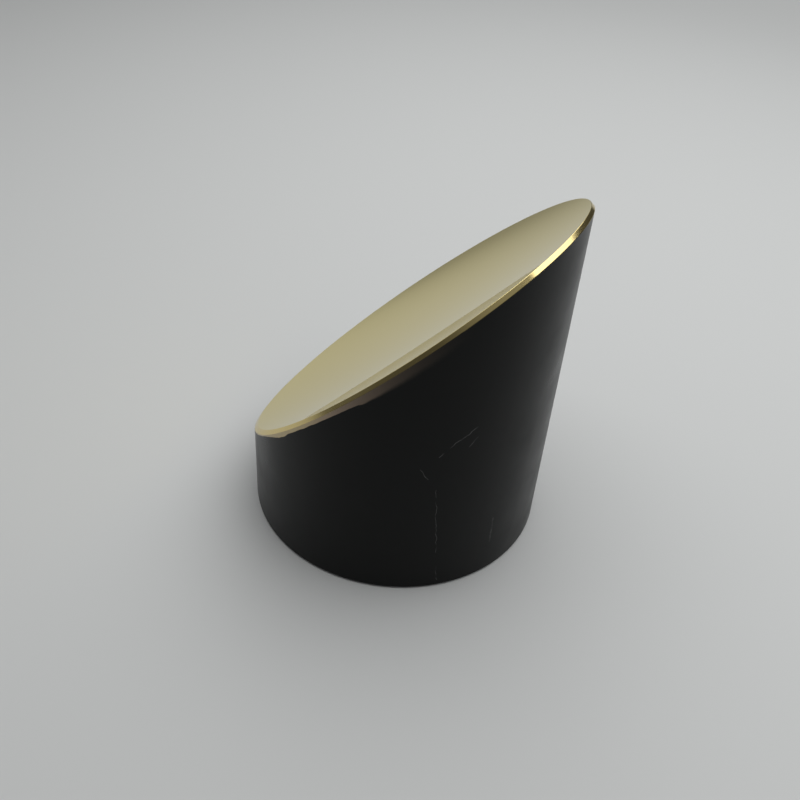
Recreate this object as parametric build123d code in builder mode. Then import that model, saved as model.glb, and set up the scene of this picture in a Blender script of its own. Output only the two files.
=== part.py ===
"""Off-axis parabolic mirror, 90 degree reflection, turned and diamond-cut from one aluminium bar.

The base is flat and round. The top is cut on a slant, and the slanted face is a true patch of a
paraboloid of revolution whose parent axis runs parallel to the barrel, out beyond its low side.

Millimetres, +Z up the barrel. The origin is the centre of the base circle. The rim is lowest at -X
and highest at +X, and the mirror is symmetric about the XZ plane.
"""

import os
from math import cos, radians, sin, tan

from build123d import *

os.makedirs("parts", exist_ok=True)


# Driving dimensions

barrel_diameter = 25.4
low_wall_height = 5.3  # wall under the lowest point of the rim bevel
base_edge_break = 0.2

reflected_focal_length = 50.8
reflection_angle = 90.0  # degrees between the parent axis and the reflected beam

bevel_inset = 0.3  # plan width of the bevel round the mirror face
bevel_drop_low_end = 0.2  # how far the bevel takes the wall down, at the low end
bevel_drop_high_end = 0.55  # and at the crest

fixing_hole_count = 3
fixing_hole_diameter = 2.5  # tapping size of a 3 mm screw
fixing_hole_depth = 4.5
fixing_hole_edge_distance = 4.2  # hole centres in from the barrel wall

dowel_hole_diameter = 3.0
dowel_hole_depth = 4.0
drill_point_angle = 118.0  # degrees, included


# Optics: the parent paraboloid

parent_focal_length = reflected_focal_length * (1 + cos(radians(reflection_angle))) / 2
off_axis_distance = reflected_focal_length * sin(radians(reflection_angle))
rim_slope = tan(radians(reflection_angle) / 2)

# The rim of the mirror face lies in a plane, because a paraboloid and a cylinder that runs parallel
# to its axis always meet in a plane ellipse.
barrel_radius = barrel_diameter / 2
face_radius = barrel_radius - bevel_inset
rim_centre_height = low_wall_height + bevel_drop_low_end + rim_slope * barrel_radius
vertex_height = rim_centre_height - (off_axis_distance**2 + face_radius**2) / (4 * parent_focal_length)


def paraboloid_height(distance):
    """Height of the reflecting surface at a distance from the parent axis."""
    return vertex_height + distance**2 / (4 * parent_focal_length)


# Rim bevel: the wall ends in one slanted ellipse, and straight lines rise from it, through the rim
# of the face, to a smaller ellipse as far above the rim as the first is below.

mean_bevel_drop = (bevel_drop_high_end + bevel_drop_low_end) / 2
bevel_tilt = (bevel_drop_high_end - bevel_drop_low_end) / 2
crown_radius = face_radius - bevel_inset
wall_top_slope = rim_slope - bevel_tilt / barrel_radius
crown_slope = rim_slope + bevel_tilt / crown_radius


def slanted_plane(height, slope):
    """A plane that crosses the barrel axis at a height and climbs towards +X."""
    return Plane(origin=(0, 0, height), x_dir=(1, 0, slope), z_dir=(-slope, 0, 1))


def slanted_section(radius, slope):
    """The ellipse in which a slanted plane cuts an upright cylinder."""
    return Ellipse(radius * (1 + slope**2) ** 0.5, radius)


wall_top_plane = slanted_plane(rim_centre_height - mean_bevel_drop, wall_top_slope)
crown_plane = slanted_plane(rim_centre_height + mean_bevel_drop, crown_slope)


# The cutter starts and ends clear of the barrel, and rises past the top of the crown.

cutter_margin = 2 * bevel_inset
near_reach = off_axis_distance - barrel_radius - cutter_margin
far_reach = off_axis_distance + barrel_radius + cutter_margin
cutter_top = paraboloid_height(far_reach) + cutter_margin
near_height = paraboloid_height(near_reach)
far_height = paraboloid_height(far_reach)

# The tangents at both ends of a parabola meet half way across, so three points give it exactly.
tangent_meeting = (
    (near_reach + far_reach) / 2,
    vertex_height + near_reach * far_reach / (4 * parent_focal_length),
)

parent_axis = Axis((-off_axis_distance, 0, 0), (0, 0, 1))
parent_plane = Plane(origin=(-off_axis_distance, 0, 0), x_dir=(1, 0, 0), z_dir=(0, -1, 0))


# Holes in the base

fixing_circle_radius = barrel_radius - fixing_hole_edge_distance
fixing_hole_radius = fixing_hole_diameter / 2
dowel_hole_radius = dowel_hole_diameter / 2


def drill_blind_hole(radius, depth):
    """A drilled hole going up from the base, with the cone that the drill point leaves."""
    point_height = radius / tan(radians(drill_point_angle) / 2)
    upward = (Align.CENTER, Align.CENTER, Align.MIN)
    Cylinder(radius, depth, align=upward, mode=Mode.SUBTRACT)
    with Locations((0, 0, depth)):
        Cone(radius, 0, point_height, align=upward, mode=Mode.SUBTRACT)


with BuildPart() as parabolic_mirror:
    # The bar, sawn off on the slant where the bevel begins.
    with BuildSketch(Plane.XY):
        Circle(barrel_radius)
    extrude(amount=cutter_top)
    split(bisect_by=wall_top_plane, keep=Keep.BOTTOM)

    # The bevelled crown.
    with BuildSketch(wall_top_plane):
        slanted_section(barrel_radius, wall_top_slope)
    with BuildSketch(crown_plane):
        slanted_section(crown_radius, crown_slope)
    loft(ruled=True)

    # The paraboloid face, swept round the parent axis as the diamond tool does.
    with BuildSketch(parent_plane):
        with BuildLine():
            Bezier((near_reach, near_height), tangent_meeting, (far_reach, far_height))
            Polyline(
                (far_reach, far_height),
                (far_reach, cutter_top),
                (near_reach, cutter_top),
                (near_reach, near_height),
            )
        make_face()
    revolve(axis=parent_axis, mode=Mode.SUBTRACT)

    # The sharp edge of the base is broken.
    base_edge = parabolic_mirror.edges().filter_by(GeomType.CIRCLE).sort_by(Axis.Z)[0]
    chamfer(base_edge, length=base_edge_break)

    # Tapped holes that clamp the mirror down, one under the crest, and the dowel hole that squares
    # it to the beam, under the low end.
    with PolarLocations(fixing_circle_radius, fixing_hole_count):
        drill_blind_hole(fixing_hole_radius, fixing_hole_depth)
    with Locations((-fixing_circle_radius, 0, 0)):
        drill_blind_hole(dowel_hole_radius, dowel_hole_depth)

parabolic_mirror.part.label = "parabolic_mirror"
export_step(parabolic_mirror.part, "parts/parabolic_mirror.step")
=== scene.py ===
"""Looks of an off-axis parabolic mirror: gold on its concave face and bevel, black anodising below.

Metres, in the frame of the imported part: the origin is the centre of the base, +Z runs up the bar,
and the slanted face rises from -X to +X.
"""

from math import hypot, pi, radians

import bpy
from mathutils import Matrix, Vector


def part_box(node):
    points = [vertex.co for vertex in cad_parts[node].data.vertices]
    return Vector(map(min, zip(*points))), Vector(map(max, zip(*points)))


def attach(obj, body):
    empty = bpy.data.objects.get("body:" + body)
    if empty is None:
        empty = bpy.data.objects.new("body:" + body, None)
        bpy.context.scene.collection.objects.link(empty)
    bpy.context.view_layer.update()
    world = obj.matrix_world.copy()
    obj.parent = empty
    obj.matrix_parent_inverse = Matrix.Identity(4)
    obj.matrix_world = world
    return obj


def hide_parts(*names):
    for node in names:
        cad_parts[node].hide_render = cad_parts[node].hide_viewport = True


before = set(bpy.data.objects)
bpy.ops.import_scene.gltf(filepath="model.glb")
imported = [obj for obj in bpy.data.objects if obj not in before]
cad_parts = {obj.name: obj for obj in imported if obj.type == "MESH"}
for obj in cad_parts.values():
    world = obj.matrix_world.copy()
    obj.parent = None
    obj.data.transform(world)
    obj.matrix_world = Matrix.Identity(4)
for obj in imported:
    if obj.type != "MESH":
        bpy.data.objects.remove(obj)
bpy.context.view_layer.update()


# The bar
# One round bar of aluminium, turned, cut on the slant and then diamond-cut on its face to a patch
# of a paraboloid. The parent axis of the paraboloid stands upright, outside the bar's low side.

_, mirror_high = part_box("parabolic_mirror")
barrel_radius = mirror_high.x
crest_height = mirror_high.z
base_edge_break = 0.0002
bevel_inset = 0.0003
bevel_drop_low_end = 0.0002
bevel_drop_high_end = 0.00055
parent_focal_length = 0.0254
off_axis_distance = 2 * parent_focal_length  # the beam turns through a right angle

face_radius = barrel_radius - bevel_inset
rim_centre_height = crest_height - face_radius  # the rim climbs at 45 degrees
rim_centre_rise = (off_axis_distance**2 + face_radius**2) / (4 * parent_focal_length)
vertex_height = rim_centre_height - rim_centre_rise
mean_bevel_drop = (bevel_drop_high_end + bevel_drop_low_end) / 2
bevel_tilt = (bevel_drop_high_end - bevel_drop_low_end) / 2
wall_top_centre = rim_centre_height - mean_bevel_drop
wall_top_slope = 1 - bevel_tilt / barrel_radius

bar_sides = 256
face_rings = 72


def face_height(x, y):
    """Height of the diamond-cut face above the base."""
    return vertex_height + ((x + off_axis_distance) ** 2 + y**2) / (4 * parent_focal_length)


def wall_top_height(x):
    """Height at which the wall of the bar gives way to the bevel."""
    return wall_top_centre + wall_top_slope * x


def draw_up(radius_ratio, height, rise):
    """Extrude the selected end of the bar, then widen or narrow it."""
    bpy.ops.mesh.extrude_region_move(TRANSFORM_OT_translate={"value": (0, 0, rise)})
    bpy.ops.transform.resize(value=(radius_ratio, radius_ratio, 1), center_override=(0, 0, height))


bpy.ops.object.select_all(action="DESELECT")
base_radius = barrel_radius - base_edge_break
bpy.ops.mesh.primitive_circle_add(vertices=bar_sides, radius=base_radius, fill_type="NGON")
mirror = bpy.context.object
mirror.name = "mirror_bar"

bpy.ops.object.mode_set(mode="EDIT")
bpy.ops.mesh.select_all(action="SELECT")
draw_up(barrel_radius / base_radius, base_edge_break, base_edge_break)
draw_up(1, crest_height, crest_height - base_edge_break)
draw_up(face_radius / barrel_radius, crest_height, 0)
for ring in range(face_rings, 1, -1):
    draw_up((ring - 1) / ring, crest_height, 0)
bpy.ops.mesh.poke()
bpy.ops.mesh.select_all(action="SELECT")
bpy.ops.mesh.normals_make_consistent(inside=False)
bpy.ops.object.mode_set(mode="OBJECT")

for vertex in mirror.data.vertices:
    x, y, z = vertex.co
    if z < crest_height / 2:
        continue
    on_wall = hypot(x, y) > barrel_radius - bevel_inset / 2
    vertex.co.z = wall_top_height(x) if on_wall else face_height(x, y)


# Holes in the base
# Three holes tapped for 3 mm screws, which clamp the mirror down, and a plain dowel hole under the
# low end that squares it to the beam. All four are drilled blind from below.

fixing_hole_count = 3
fixing_hole_radius = 0.00125
fixing_hole_depth = 0.0045
fixing_circle_radius = barrel_radius - 0.0042
dowel_hole_radius = 0.0015
dowel_hole_depth = 0.004
drill_point_slope = 0.6009  # the point of a 118 degree drill: depth of the cone over its radius
hole_sides = 48
drill_overrun = 0.001  # the cutters start below the base
weld_distance = 0.000001

thread_pitch = 0.0005
thread_outer_radius = 0.0015
thread_turns = 9
thread_land = 0.8  # part of the pitch that the groove takes where it opens into the hole


def choose(piece):
    """Select one piece and make it active."""
    bpy.ops.object.select_all(action="DESELECT")
    piece.select_set(True)
    bpy.context.view_layer.objects.active = piece


def cut_with(cutter, name):
    """Take the cutter out of the bar, and merge the corners that the cut leaves in one place."""
    choose(mirror)
    cut = mirror.modifiers.new(name, "BOOLEAN")
    cut.operation = "DIFFERENCE"
    cut.solver = "EXACT"
    cut.object = cutter
    bpy.ops.object.modifier_apply(modifier=cut.name)
    bpy.data.objects.remove(cutter)
    bpy.ops.object.mode_set(mode="EDIT")
    bpy.ops.mesh.select_all(action="SELECT")
    bpy.ops.mesh.remove_doubles(threshold=weld_distance)
    bpy.ops.object.mode_set(mode="OBJECT")


def drill(name, x, y, radius, depth):
    """Take a blind hole with its drill point out of the base."""
    bpy.ops.object.select_all(action="DESELECT")
    length = depth + drill_overrun
    bpy.ops.mesh.primitive_cylinder_add(
        vertices=hole_sides, radius=radius, depth=length, location=(x, y, depth - length / 2)
    )
    cutter = bpy.context.object
    cutter.name = name
    bpy.ops.object.transform_apply(location=True, rotation=True, scale=True)
    bpy.ops.object.mode_set(mode="EDIT")
    bpy.ops.mesh.select_all(action="DESELECT")
    bpy.ops.object.mode_set(mode="OBJECT")
    for face in cutter.data.polygons:
        face.select = face.normal.z > 0.9
    bpy.ops.object.mode_set(mode="EDIT")
    bpy.ops.mesh.select_mode(type="FACE")
    bpy.ops.mesh.poke(offset=radius * drill_point_slope)
    bpy.ops.object.mode_set(mode="OBJECT")
    cut_with(cutter, "drilled")


def tap(x, y):
    """Cut a helical thread groove into the wall of a drilled hole."""
    bpy.ops.object.select_all(action="DESELECT")
    bpy.ops.mesh.primitive_circle_add(vertices=3, radius=thread_pitch, fill_type="NGON")
    cutter = bpy.context.object
    cutter.name = "tap"
    inner_radius = 2 * fixing_hole_radius - thread_outer_radius
    half_width = thread_pitch * thread_land / 2
    corners = ((inner_radius, -half_width), (thread_outer_radius, 0), (inner_radius, half_width))
    for vertex, (radius, rise) in zip(cutter.data.vertices, corners):
        vertex.co = (radius, 0, rise - thread_pitch)
    winding = cutter.modifiers.new("winding", "SCREW")
    winding.axis = "Z"
    winding.angle = 2 * pi
    winding.screw_offset = thread_pitch
    winding.iterations = thread_turns
    winding.steps = hole_sides
    winding.render_steps = hole_sides
    bpy.ops.object.modifier_apply(modifier=winding.name)
    bpy.ops.object.mode_set(mode="EDIT")
    bpy.ops.mesh.select_all(action="SELECT")
    bpy.ops.mesh.fill_holes(sides=4)
    bpy.ops.mesh.select_all(action="SELECT")
    bpy.ops.mesh.normals_make_consistent(inside=False)
    bpy.ops.object.mode_set(mode="OBJECT")
    cutter.location = (x, y, 0)
    bpy.ops.object.transform_apply(location=True, rotation=True, scale=True)
    cut_with(cutter, "tapped")


for hole in range(fixing_hole_count):
    way_round = Matrix.Rotation(2 * pi * hole / fixing_hole_count, 3, "Z")
    spot = way_round @ Vector((fixing_circle_radius, 0, 0))
    drill("fixing_drill", spot.x, spot.y, fixing_hole_radius, fixing_hole_depth)
    tap(spot.x, spot.y)
drill("dowel_drill", -fixing_circle_radius, 0, dowel_hole_radius, dowel_hole_depth)


# Edges of the bar
# The base edge and both edges of the bevel keep a hair of rounding, as edges do that were broken by
# hand.

edge_rounding = 0.00003
sharp_turn = radians(12)

choose(mirror)
bpy.ops.object.shade_smooth_by_angle(angle=sharp_turn)

weights = mirror.data.attributes.new("bevel_weight_edge", "FLOAT", "EDGE")
for edge in mirror.data.edges:
    start, end = (mirror.data.vertices[corner].co for corner in edge.vertices)
    middle = (start + end) / 2
    on_outside = hypot(middle.x, middle.y) > base_radius - bevel_inset
    weights.data[edge.index].value = 1 if on_outside and edge.use_edge_sharp else 0

rounding = mirror.modifiers.new("edge_rounding", "BEVEL")
rounding.limit_method = "WEIGHT"
rounding.width = edge_rounding
rounding.segments = 3
rounding.harden_normals = True
bpy.ops.object.modifier_apply(modifier=rounding.name)


# Gold coating
# A film of evaporated gold over the diamond-cut face and the bevel round it. The face is optically
# smooth, with faint arcs of haze round the parent axis where the tool passed. The bevel is coarser.

face_gold = (0.85, 0.735, 0.37, 1)
bevel_gold = (0.82, 0.66, 0.30, 1)
gold_edge_tint = (0.86, 0.85, 0.80, 1)
noise_low, noise_high = 0.3, 0.7  # most of a noise texture lies between these

face_smooth, face_rough = 0.018, 0.034
turning_scale = 2600  # arcs per metre, about
turning_detail = 6

bevel_smooth, bevel_rough = 0.07, 0.15
bevel_patch_scale = 900
bevel_grain_scale = 9000
bevel_grain_height = 0.0000004


def new_finish(name):
    """A material, its node tree and its shader."""
    finish = bpy.data.materials.new(name)
    finish.use_nodes = True
    return finish, finish.node_tree, finish.node_tree.nodes["Principled BSDF"]


def new_group(name, inputs, outputs, **kinds):
    """A node group, with its inputs and outputs as seen from inside. They carry numbers, or what
    kinds says.
    """
    group = bpy.data.node_groups.new(name, "ShaderNodeTree")
    for way, sockets in (("INPUT", inputs), ("OUTPUT", outputs)):
        for socket in sockets:
            kind = "NodeSocket" + kinds.get(socket, "Float")
            group.interface.new_socket(socket, in_out=way, socket_type=kind)
    given = group.nodes.new("NodeGroupInput").outputs
    return group, given, group.nodes.new("NodeGroupOutput").inputs


def put(tree, value, entry):
    """Feed a socket with a fixed value, or with the output of another node."""
    if isinstance(value, bpy.types.NodeSocket):
        tree.links.new(value, entry)
    else:
        entry.default_value = value


def use_group(tree, group, values):
    """Put a group into a node tree, feed it, and give back its outputs."""
    node = tree.nodes.new("ShaderNodeGroup")
    node.node_tree = group
    for name, value in values.items():
        put(tree, value, node.inputs[name])
    return node.outputs


def calculate(tree, operation, *values):
    """Work out one number from others."""
    node = tree.nodes.new("ShaderNodeMath")
    node.operation = operation
    for value, entry in zip(values, node.inputs):
        put(tree, value, entry)
    return node.outputs["Value"]


def add_products(tree, first, second, third, fourth):
    """First times second, plus third times fourth."""
    product = calculate(tree, "MULTIPLY", third, fourth)
    return calculate(tree, "MULTIPLY_ADD", first, second, product)


def ramp(tree, value, start, end, low=0, high=1, smooth=False):
    """Go from low to high while the value goes from start to end."""
    node = tree.nodes.new("ShaderNodeMapRange")
    if smooth:
        node.interpolation_type = "SMOOTHSTEP"
    names = ("Value", "From Min", "From Max", "To Min", "To Max")
    for name, amount in zip(names, (value, start, end, low, high)):
        put(tree, amount, node.inputs[name])
    return node.outputs["Result"]


def place_on_piece(tree):
    """Where a point lies on the piece, in metres."""
    return tree.nodes.new("ShaderNodeTexCoord").outputs["Object"]


def taken_apart(tree, vector):
    """The x, y and z of a vector."""
    node = tree.nodes.new("ShaderNodeSeparateXYZ")
    tree.links.new(vector, node.inputs["Vector"])
    return node.outputs


def noise(tree, scale, detail):
    """Noise through the space that the piece is in."""
    node = tree.nodes.new("ShaderNodeTexNoise")
    put(tree, scale, node.inputs["Scale"])
    node.inputs["Detail"].default_value = detail
    tree.links.new(place_on_piece(tree), node.inputs["Vector"])
    return node.outputs


def surface_grain():
    """Group: uneven gloss and a fine grain, from noise at two scales."""
    inputs = ("Patch Scale", "Grain Scale", "Smooth", "Rough")
    group, given, result = new_group("surface_grain", inputs, ("Gloss", "Height"))
    patches = noise(group, given["Patch Scale"], 5)["Fac"]
    grain = noise(group, given["Grain Scale"], 2)["Fac"]
    gloss = ramp(group, patches, noise_low, noise_high, given["Smooth"], given["Rough"])
    group.links.new(gloss, result["Gloss"])
    group.links.new(grain, result["Height"])
    return group


def turning_arcs():
    """Group: haze in fine arcs round the parent axis of the paraboloid."""
    group, _, result = new_group("turning_arcs", (), ("Haze",))
    x, y, _ = taken_apart(group, place_on_piece(group))
    across = calculate(group, "ADD", x, off_axis_distance)
    square = add_products(group, across, across, y, y)
    arcs = group.nodes.new("ShaderNodeTexNoise")
    arcs.noise_dimensions = "1D"
    arcs.inputs["Scale"].default_value = turning_scale
    arcs.inputs["Detail"].default_value = turning_detail
    group.links.new(calculate(group, "SQRT", square), arcs.inputs["W"])
    group.links.new(arcs.outputs["Fac"], result["Haze"])
    return group


grain_group = surface_grain()


def add_grain(tree, shader, patch_scale, grain_scale, smooth, rough, height):
    """Give a finish its uneven gloss and its grain."""
    values = {
        "Patch Scale": patch_scale,
        "Grain Scale": grain_scale,
        "Smooth": smooth,
        "Rough": rough,
    }
    grain = use_group(tree, grain_group, values)
    tree.links.new(grain["Gloss"], shader.inputs["Roughness"])
    bump = tree.nodes.new("ShaderNodeBump")
    bump.inputs["Distance"].default_value = height
    bump.inputs["Strength"].default_value = 1
    tree.links.new(grain["Height"], bump.inputs["Height"])
    tree.links.new(bump.outputs["Normal"], shader.inputs["Normal"])


def gold(name, colour):
    """Evaporated gold on metal, before its gloss is set."""
    finish, tree, shader = new_finish(name)
    shader.inputs["Base Color"].default_value = colour
    shader.inputs["Specular Tint"].default_value = gold_edge_tint
    shader.inputs["Metallic"].default_value = 1
    return finish, tree, shader


gold_face, face_tree, face_shader = gold("gold_face", face_gold)
haze = use_group(face_tree, turning_arcs(), {})["Haze"]
face_gloss = ramp(face_tree, haze, noise_low, noise_high, face_smooth, face_rough)
face_tree.links.new(face_gloss, face_shader.inputs["Roughness"])

gold_bevel, bevel_tree, bevel_shader = gold("gold_bevel", bevel_gold)
add_grain(
    bevel_tree,
    bevel_shader,
    bevel_patch_scale,
    bevel_grain_scale,
    bevel_smooth,
    bevel_rough,
    bevel_grain_height,
)


# Black anodising
# The wall and the base are dyed black and satin, with a few hairline scratches. Part of their
# darkness is painted shade: the black is darker and less glossy than the dye alone, as though the
# floor that the wall mirrors in front lay in shadow. At the low near side the gold went past the
# bevel, and lies on the wall as a thin ragged band that fades to the right.

# Painted shade in part: this black and the low index make the wall darker than black dye alone,
# standing in for a shadowed floor in front.
anodised_black_and_painted_shade = (0.0032, 0.0036, 0.0034, 1)
anodising_index_and_painted_shade = 1.24
anodising_smooth, anodising_rough = 0.27, 0.38
anodising_patch_scale = 250
anodising_grain_scale = 8000
anodising_grain_height = 0.0000006

stray_gold = (0.47, 0.385, 0.235, 1)
stray_gold_thin = (0.37, 0.285, 0.215, 1)
stray_unit = 0.002  # the widths below are parts of this
# Places are parts of the way across the bar, from the low end to the crest.
stray_widths = (
    (0.00, 0.000),
    (0.09, 0.040),
    (0.18, 0.060),
    (0.24, 0.130),
    (0.307, 0.250),
    (0.326, 0.190),
    (0.355, 0.185),
    (0.402, 0.200),
    (0.442, 0.215),
    (0.50, 0.250),
    (0.54, 0.290),
    (0.563, 0.330),
    (0.585, 0.420),
    (1.00, 0.420),
)
stray_strengths = (
    (0.00, 0.00),
    (0.07, 0.00),
    (0.11, 0.90),
    (0.34, 1.00),
    (0.44, 0.88),
    (0.52, 0.62),
    (0.60, 0.36),
    (0.68, 0.16),
    (0.76, 0.05),
    (0.84, 0.00),
    (1.00, 0.00),
)
stray_thinning = ((0, 0), (0.35, 0), (0.52, 1), (1, 1))  # from stray_gold to stray_gold_thin
stray_edge, stray_edge_right = 0.00005, 0.0008  # how softly the band ends
stray_softening = (0.56, 0.70)  # where its end goes from the first to the second
stray_ragged_scale = 1500
stray_raggedness = 0.07

# Scratches on the wall: start and end as millimetres round the wall from the crest and millimetres
# up, then width in millimetres, then strength.
scratches = (
    ((-9.29, 17.07), (-10.38, 16.20), 0.05, 0.38),
    ((-10.38, 16.20), (-11.10, 15.77), 0.05, 0.36),
    ((-11.10, 15.77), (-12.10, 14.46), 0.05, 0.34),
    ((-9.85, 15.11), (-9.30, 15.93), 0.04, 0.30),
    ((-13.49, 13.36), (-12.81, 12.32), 0.05, 0.28),
    ((-12.11, 11.21), (-11.48, 4.20), 0.04, 0.24),
    ((-11.30, 2.40), (-11.16, 0.71), 0.05, 0.30),
    ((-6.47, 6.18), (-6.35, 3.51), 0.10, 0.18),
)
scratch_colour = (0.30, 0.30, 0.30, 1)
scratch_waver_scale = 900
scratch_waver = 0.6  # millimetres from one side to the other
scratch_breaks = (0.40, 0.56)  # the noise below the first breaks a scratch off
millimetres = 1000  # in a metre


def wall_place():
    """Group: where a point lies on the wall."""
    outputs = ("Across", "Drop", "Round", "Up", "Near")
    group, _, result = new_group("wall_place", (), outputs)
    x, y, z = taken_apart(group, place_on_piece(group))
    top = calculate(group, "MULTIPLY_ADD", x, wall_top_slope, wall_top_centre)
    angle = calculate(group, "ARCTAN2", y, x)
    answers = (
        calculate(group, "MULTIPLY_ADD", x, 0.5 / barrel_radius, 0.5),
        calculate(group, "SUBTRACT", top, z),
        calculate(group, "MULTIPLY", angle, barrel_radius * millimetres),
        calculate(group, "MULTIPLY", z, millimetres),
        calculate(group, "LESS_THAN", y, 0),
    )
    for name, answer in zip(outputs, answers):
        group.links.new(answer, result[name])
    return group


def drawn_curve(tree, value, points):
    """A curve through the given points."""
    node = tree.nodes.new("ShaderNodeFloatCurve")
    curve = node.mapping.curves[0]
    curve.points[0].location = points[0]
    curve.points[1].location = points[-1]
    for point in points[1:-1]:
        curve.points.new(*point)
    node.mapping.update()
    tree.links.new(value, node.inputs["Value"])
    return node.outputs["Value"]


def stray_band(tree, wall):
    """How much stray gold lies at a point of the wall."""
    across = wall["Across"]
    grain = noise(tree, stray_ragged_scale, 4)["Fac"]
    ragged = calculate(tree, "MULTIPLY_ADD", grain, stray_raggedness, -stray_raggedness / 2)
    width = calculate(tree, "ADD", drawn_curve(tree, across, stray_widths), ragged)
    depth = calculate(tree, "MULTIPLY", width, stray_unit)
    over = calculate(tree, "SUBTRACT", depth, wall["Drop"])
    softness = ramp(tree, across, *stray_softening, stray_edge, stray_edge_right)
    outer = calculate(tree, "MULTIPLY", softness, -0.5)
    inner = calculate(tree, "MULTIPLY", softness, 0.5)
    inside = ramp(tree, over, outer, inner, smooth=True)
    strength = drawn_curve(tree, across, stray_strengths)
    strength = calculate(tree, "MULTIPLY", strength, wall["Near"])
    return calculate(tree, "MULTIPLY", strength, inside)


def scratch_line():
    """Group: a straight hairline on the wall, given by its two ends, fading at its edges."""
    ends = ("Start Round", "Start Up", "Run Round", "Run Up")
    inputs = ("Round", "Up", *ends, "Width", "Strength")
    group, given, result = new_group("scratch_line", inputs, ("Mask",))
    run_round, run_up = given["Run Round"], given["Run Up"]
    off_round = calculate(group, "SUBTRACT", given["Round"], given["Start Round"])
    off_up = calculate(group, "SUBTRACT", given["Up"], given["Start Up"])
    ahead = add_products(group, off_round, run_round, off_up, run_up)
    square = add_products(group, run_round, run_round, run_up, run_up)
    part = calculate(group, "DIVIDE", ahead, square)
    part = calculate(group, "MINIMUM", calculate(group, "MAXIMUM", part, 0), 1)
    reach_round = calculate(group, "MULTIPLY", part, run_round)
    reach_up = calculate(group, "MULTIPLY", part, run_up)
    miss_round = calculate(group, "SUBTRACT", off_round, reach_round)
    miss_up = calculate(group, "SUBTRACT", off_up, reach_up)
    miss = add_products(group, miss_round, miss_round, miss_up, miss_up)
    painted_glow_strength = calculate(group, "DIVIDE", calculate(group, "SQRT", miss), given["Width"])
    mask = calculate(group, "MAXIMUM", calculate(group, "SUBTRACT", 1, painted_glow_strength), 0)
    group.links.new(calculate(group, "MULTIPLY", mask, given["Strength"]), result["Mask"])
    return group


def scratch_mask(tree, wall):
    """Where the wall is scratched. The lines waver, and break off here and there."""
    colours = tree.nodes.new("ShaderNodeSeparateColor")
    tree.links.new(noise(tree, scratch_waver_scale, 3)["Color"], colours.inputs["Color"])
    red, green, blue = colours.outputs
    wavering = {}
    for way, amount in (("Round", red), ("Up", green)):
        off = calculate(tree, "MULTIPLY_ADD", amount, scratch_waver, -scratch_waver / 2)
        wavering[way] = calculate(tree, "ADD", wall[way], off)
    line_group = scratch_line()
    mask = 0
    for start, end, width, strength in scratches:
        values = {
            "Start Round": start[0],
            "Start Up": start[1],
            "Run Round": end[0] - start[0],
            "Run Up": end[1] - start[1],
            "Width": width,
            "Strength": strength,
        }
        line = use_group(tree, line_group, {**wavering, **values})
        mask = calculate(tree, "MAXIMUM", line["Mask"], mask)
    return calculate(tree, "MULTIPLY", mask, ramp(tree, blue, *scratch_breaks))


def blend(tree, amount, first, second):
    """The second colour laid over the first."""
    node = tree.nodes.new("ShaderNodeMix")
    node.data_type = "RGBA"
    tree.links.new(amount, node.inputs[0])
    put(tree, first, node.inputs[6])
    put(tree, second, node.inputs[7])
    return node.outputs[2]


anodised, anodised_tree, anodised_shader = new_finish("black_anodising_and_painted_shade")
anodised_shader.inputs["IOR"].default_value = anodising_index_and_painted_shade
add_grain(
    anodised_tree,
    anodised_shader,
    anodising_patch_scale,
    anodising_grain_scale,
    anodising_smooth,
    anodising_rough,
    anodising_grain_height,
)

wall = use_group(anodised_tree, wall_place(), {})
scratched = scratch_mask(anodised_tree, wall)
stray = stray_band(anodised_tree, wall)
thinning = drawn_curve(anodised_tree, wall["Across"], stray_thinning)
stray_colour = blend(anodised_tree, thinning, stray_gold, stray_gold_thin)
wall_colour = blend(anodised_tree, stray, anodised_black_and_painted_shade, stray_colour)
wall_colour = blend(anodised_tree, scratched, wall_colour, scratch_colour)
anodised_tree.links.new(wall_colour, anodised_shader.inputs["Base Color"])
anodised_tree.links.new(stray, anodised_shader.inputs["Metallic"])


# Bare metal
# The holes were drilled and tapped through the anodising into bright aluminium, which keeps the
# marks of the tools. With this last finish each face of the bar gets its own.

drilled_aluminium = (0.62, 0.62, 0.63, 1)
drilled_smooth, drilled_rough = 0.25, 0.4
drilled_patch_scale = 900
drilled_grain_scale = 5000
drilled_grain_height = 0.000001

drilled, drilled_tree, drilled_shader = new_finish("drilled_aluminium")
drilled_shader.inputs["Base Color"].default_value = drilled_aluminium
drilled_shader.inputs["Metallic"].default_value = 1
add_grain(
    drilled_tree,
    drilled_shader,
    drilled_patch_scale,
    drilled_grain_scale,
    drilled_smooth,
    drilled_rough,
    drilled_grain_height,
)

finishes = (anodised, gold_face, gold_bevel, drilled)
for material in finishes:
    mirror.data.materials.append(material)


def finish_at(x, y, z):
    """The finish of the bar at a point of its surface."""
    distance = hypot(x, y)
    inward = distance < base_radius - bevel_inset
    above_base = weld_distance < z < 2 * fixing_hole_depth
    if inward and above_base and z < face_height(x, y) - bevel_inset:
        return drilled
    if z < base_edge_break or distance > face_radius and z < wall_top_height(x):
        return anodised
    return gold_bevel if distance > face_radius else gold_face


for face in mirror.data.polygons:
    face.material_index = finishes.index(finish_at(*face.center))

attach(mirror, "root")
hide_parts("parabolic_mirror")


# The table and the light
# A plain pale floor under one broad soft light, above and a little behind the mirror to the right.
# It also draws the glint on the bevel. The room beyond looks pale, and gives little light.

floor_colour = (0.62, 0.632, 0.628, 1)
floor_size = 8
floor_roughness = 0.7
floor_gloss = 0.2
# Painted glow: between these distances the far floor glows in the room's colour, at the strength
# below.
floor_fade_start, floor_fade_end = 0.16, 0.42
floor_painted_glow_strength = 0.77  # the rest of the far floor's paleness is the room's light on it

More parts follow.
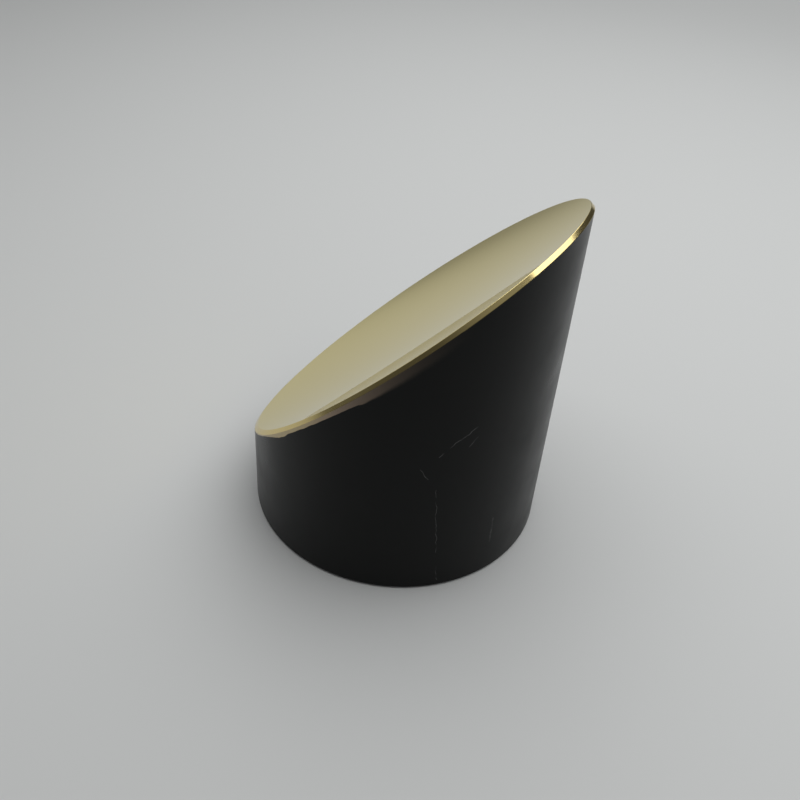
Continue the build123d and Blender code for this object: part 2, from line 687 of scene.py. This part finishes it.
room_light = (0.22, 0.22, 0.22, 1)
room_dark_side = (0.065, 0.065, 0.062, 1)
room_pale_side = (0.60, 0.61, 0.60, 1)
pale_direction = (-0.542, 0.4545, 0.707)
pale_side_spread = (0.42, 0.86)  # likeness to that direction at which paleness starts and is full
ceiling_spread = (0.50, 0.90)  # and how steeply a direction climbs, for the ceiling
ceiling_paleness = 0.4  # how far the ceiling goes from the dark side's colour to the pale side's

lamp_width, lamp_depth = 0.244, 0.237
lamp_power = 0.31
lamp_place = (0.030, 0.0655, 0.155)


def calculate_vector(tree, operation, *vectors):
    """Work out a vector or a number from vectors."""
    node = tree.nodes.new("ShaderNodeVectorMath")
    node.operation = operation
    for vector, entry in zip(vectors, node.inputs):
        put(tree, vector, entry)
    return node.outputs


def room_view():
    """Group: the room as the camera and the metal see it. Metal shows its pale side, behind the
    mirror to the left, its half-pale ceiling, and its dark side, where the photographer stands.
    The camera sees plain pale grey.
    """
    kinds = {"Direction": "Vector", "Colour": "Color"}
    group, given, result = new_group("room_view", ("Direction",), ("Colour", "Shown"), **kinds)
    direction = given["Direction"]
    likeness = calculate_vector(group, "DOT_PRODUCT", direction, pale_direction)["Value"]
    climb = taken_apart(group, direction)["Z"]
    ceiling = ramp(group, climb, *ceiling_spread, smooth=True)
    ceiling = calculate(group, "MULTIPLY", ceiling, ceiling_paleness)
    pale_side = ramp(group, likeness, *pale_side_spread, smooth=True)
    paleness = calculate(group, "MAXIMUM", pale_side, ceiling)
    mirrored = blend(group, paleness, room_dark_side, room_pale_side)
    ray = group.nodes.new("ShaderNodeLightPath").outputs
    shown = calculate(group, "MAXIMUM", ray["Is Glossy Ray"], ray["Is Transmission Ray"])
    shown = calculate(group, "MAXIMUM", shown, ray["Is Camera Ray"])
    colour = blend(group, ray["Is Camera Ray"], mirrored, room_pale_side)
    group.links.new(colour, result["Colour"])
    group.links.new(shown, result["Shown"])
    return group


room_group = room_view()

bpy.ops.object.select_all(action="DESELECT")
bpy.ops.mesh.primitive_plane_add(size=floor_size, location=(0, 0, 0))
floor = bpy.context.object
floor.name = "floor"
floor_finish, floor_tree, floor_shader = new_finish("pale_floor")
floor_shader.inputs["Roughness"].default_value = floor_roughness
floor_shader.inputs["Specular IOR Level"].default_value = floor_gloss
floor.data.materials.append(floor_finish)

# Far from the mirror the floor fades into the room with a painted glow: it emits the room's colour
# to the camera and in metal. In metal its own colour fades out as well, to black.
floor_place = place_on_piece(floor_tree)
distance_out = calculate_vector(floor_tree, "LENGTH", floor_place)["Value"]
way_out = calculate_vector(floor_tree, "NORMALIZE", floor_place)["Vector"]
floor_room = use_group(floor_tree, room_group, {"Direction": way_out})
fade = ramp(floor_tree, distance_out, floor_fade_start, floor_fade_end, smooth=True)
painted_glow_strength = calculate(floor_tree, "MULTIPLY", floor_room["Shown"], fade)
painted_glow_strength = calculate(floor_tree, "MULTIPLY", painted_glow_strength, floor_painted_glow_strength)
floor_tree.links.new(floor_room["Colour"], floor_shader.inputs["Emission Color"])
floor_tree.links.new(painted_glow_strength, floor_shader.inputs["Emission Strength"])

in_metal = floor_tree.nodes.new("ShaderNodeLightPath").outputs["Is Glossy Ray"]
faded_in_metal = calculate(floor_tree, "MULTIPLY", in_metal, fade)
near_colour = blend(floor_tree, faded_in_metal, floor_colour, (0, 0, 0, 1))
floor_tree.links.new(near_colour, floor_shader.inputs["Base Color"])

lamp = bpy.data.lights.new("overhead_light", "AREA")
lamp.shape = "RECTANGLE"
lamp.size = lamp_width
lamp.size_y = lamp_depth
lamp.energy = lamp_power
overhead = bpy.data.objects.new("overhead_light", lamp)
bpy.context.collection.objects.link(overhead)
overhead.location = lamp_place

world = bpy.data.worlds.new("room")
bpy.context.scene.world = world
world.use_nodes = True
room = world.node_tree
backdrop = room.nodes["Background"].inputs
room_direction = room.nodes.new("ShaderNodeTexCoord").outputs["Generated"]
room_shown = use_group(room, room_group, {"Direction": room_direction})
room_colour = blend(room, room_shown["Shown"], room_light, room_shown["Colour"])
room.links.new(room_colour, backdrop["Color"])
backdrop["Strength"].default_value = 1


# The camera
# It looks down on the mirror from the front right, a little tilted, as a hand-held camera is. The
# place, the turn and the lens are those that the photograph's outlines fit.

camera_azimuth = radians(21.47)
camera_elevation = radians(38.64)
camera_roll = radians(4.58)
camera_place = Vector((0.022416, -0.057488, 0.059023))
camera_lens, camera_sensor = 41.05, 36  # millimetres
clip_near, clip_far = 0.002, 20

camera = bpy.data.cameras.new("camera")
camera.sensor_width = camera_sensor
camera.lens = camera_lens
camera.clip_start = clip_near
camera.clip_end = clip_far
viewer = bpy.data.objects.new("camera", camera)
bpy.context.collection.objects.link(viewer)
turn = Matrix.Rotation(camera_azimuth, 4, "Z") @ Matrix.Rotation(pi / 2 - camera_elevation, 4, "X")
turn = turn @ Matrix.Rotation(camera_roll, 4, "Z")
viewer.matrix_world = Matrix.Translation(camera_place) @ turn
bpy.context.scene.camera = viewer
bpy.context.scene.view_settings.view_transform = "Standard"
